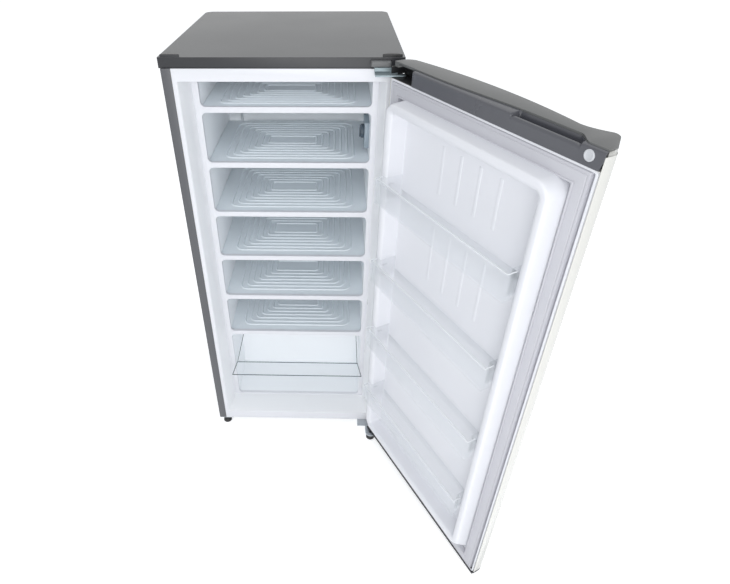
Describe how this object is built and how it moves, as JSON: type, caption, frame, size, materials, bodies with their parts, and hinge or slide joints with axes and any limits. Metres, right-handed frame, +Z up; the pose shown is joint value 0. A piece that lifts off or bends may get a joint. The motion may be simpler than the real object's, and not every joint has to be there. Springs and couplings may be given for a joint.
{
  "type": "upright freezer",
  "caption": "Upright single-door freezer with a charcoal cabinet, white shelved interior, clear drawer, clear door bins and a door-top grip, standing open.",
  "frame": {"origin": "on the floor, midway between the cabinet's sides and midway between the front plane and the back edge of the top cover", "axes": "+X to the viewer's right when facing the front, +Y from the front to the back, +Z up"},
  "size_m": [0.804, 1.0571, 1.202],
  "materials": {
    "charcoal_paint": "satin",
    "galvanised_sheet": "satin",
    "insulating_foam": "matte",
    "white_liner_plastic": "satin",
    "evaporator_tube_aluminium": "satin",
    "black_painted_tube": "satin",
    "grey_cover_plastic": "satin",
    "zinc_plated_steel": "satin",
    "black_plastic": "matte",
    "black_paint": "satin",
    "black_rubber": "matte",
    "copper_tube": "satin",
    "frosted_clear_plastic": "gloss",
    "green_clear_plastic": "gloss",
    "ivory_paint": "gloss",
    "gasket_rubber": "matte",
    "dark_grip_plastic": "satin",
    "white_plug_plastic": "satin",
    "nylon_bush": "satin"
  },
  "bodies": {
    "cabinet": {"outer_shell": "charcoal_paint", "back_panel": "galvanised_sheet", "base_pan": "galvanised_sheet", "cabinet_foam": "insulating_foam", "front_frame": "white_liner_plastic", "inner_liner": "white_liner_plastic", "window_frame": "white_liner_plastic", "evaporator_tube": "evaporator_tube_aluminium", "evaporator_riser": "evaporator_tube_aluminium", "condenser_tube": "black_painted_tube", "condenser_wires": "black_painted_tube", "condenser_stays": "black_plastic", "top_cover": "grey_cover_plastic", "blank_hinge_cover": "grey_cover_plastic", "hinge_cover": "grey_cover_plastic", "upper_hinge": "zinc_plated_steel", "upper_hinge_screws": "zinc_plated_steel", "lower_hinge": "zinc_plated_steel", "lower_hinge_screws": "zinc_plated_steel", "left_foot_plate": "zinc_plated_steel", "rear_feet": "black_plastic", "compressor_tray": "galvanised_sheet", "compressor": "black_paint", "compressor_grommets": "black_rubber", "compressor_bolts": "zinc_plated_steel", "terminal_cover": "white_plug_plastic", "filter_drier": "copper_tube", "suction_pipe": "copper_tube", "discharge_pipe": "copper_tube", "drip_pan": "white_plug_plastic", "cord_gland": "black_plastic", "thermostat_housing": "white_liner_plastic", "shelf_1": "white_liner_plastic", "shelf_2": "white_liner_plastic", "shelf_3": "white_liner_plastic", "shelf_4": "white_liner_plastic", "shelf_5": "white_liner_plastic", "shelf_6": "white_liner_plastic"},
    "door": {"door_skin": "ivory_paint", "door_foam": "insulating_foam", "door_liner": "white_liner_plastic", "door_gasket": "gasket_rubber", "door_sole": "black_plastic", "door_cap": "grey_cover_plastic", "grip_insert": "dark_grip_plastic", "cap_plug": "white_plug_plastic", "cap_screw": "zinc_plated_steel", "upper_bush": "nylon_bush", "lower_bush": "nylon_bush"},
    "rack_1": {"bin_1": "frosted_clear_plastic"},
    "rack_2": {"bin_2": "frosted_clear_plastic"},
    "rack_3": {"bin_3": "frosted_clear_plastic"},
    "rack_4": {"bin_4": "frosted_clear_plastic"},
    "drawer_body": {"drawer": "green_clear_plastic"},
    "dial": {"thermostat_dial": "dark_grip_plastic"},
    "left_foot": {"foot_left": "black_plastic"},
    "right_foot": {"foot_right": "black_plastic"}
  },
  "joints": [
    {"name": "door_hinge", "type": "hinge", "parent": "cabinet", "child": "door", "pos_m": [0.261, -0.3025, 0.6], "axis": [0, 0, 1], "range_deg": [-118.2, 16.8]},
    {"name": "bin_1_lift", "type": "slide", "parent": "door", "child": "rack_1", "axis": [0, 0, 1], "range_m": [0, 0.02]},
    {"name": "bin_2_lift", "type": "slide", "parent": "door", "child": "rack_2", "axis": [0, 0, 1], "range_m": [0, 0.02]},
    {"name": "bin_3_lift", "type": "slide", "parent": "door", "child": "rack_3", "axis": [0, 0, 1], "range_m": [0, 0.02]},
    {"name": "bin_4_lift", "type": "slide", "parent": "door", "child": "rack_4", "axis": [0, 0, 1], "range_m": [0, 0.02]},
    {"name": "drawer_slide", "type": "slide", "parent": "cabinet", "child": "drawer_body", "axis": [0, -1, 0], "range_m": [0, 0.12]},
    {"name": "dial_turn", "type": "hinge", "parent": "cabinet", "child": "dial", "pos_m": [0.19, -0.086, 0.9646], "axis": [1, 0, 0], "range_deg": [-135, 135]},
    {"name": "left_foot_turn", "type": "hinge", "parent": "cabinet", "child": "left_foot", "pos_m": [-0.242, -0.264, 0.01], "axis": [0, 0, 1], "continuous": true},
    {"name": "right_foot_turn", "type": "hinge", "parent": "cabinet", "child": "right_foot", "pos_m": [0.246, -0.327, 0.01], "axis": [0, 0, 1], "continuous": true}
  ]
}
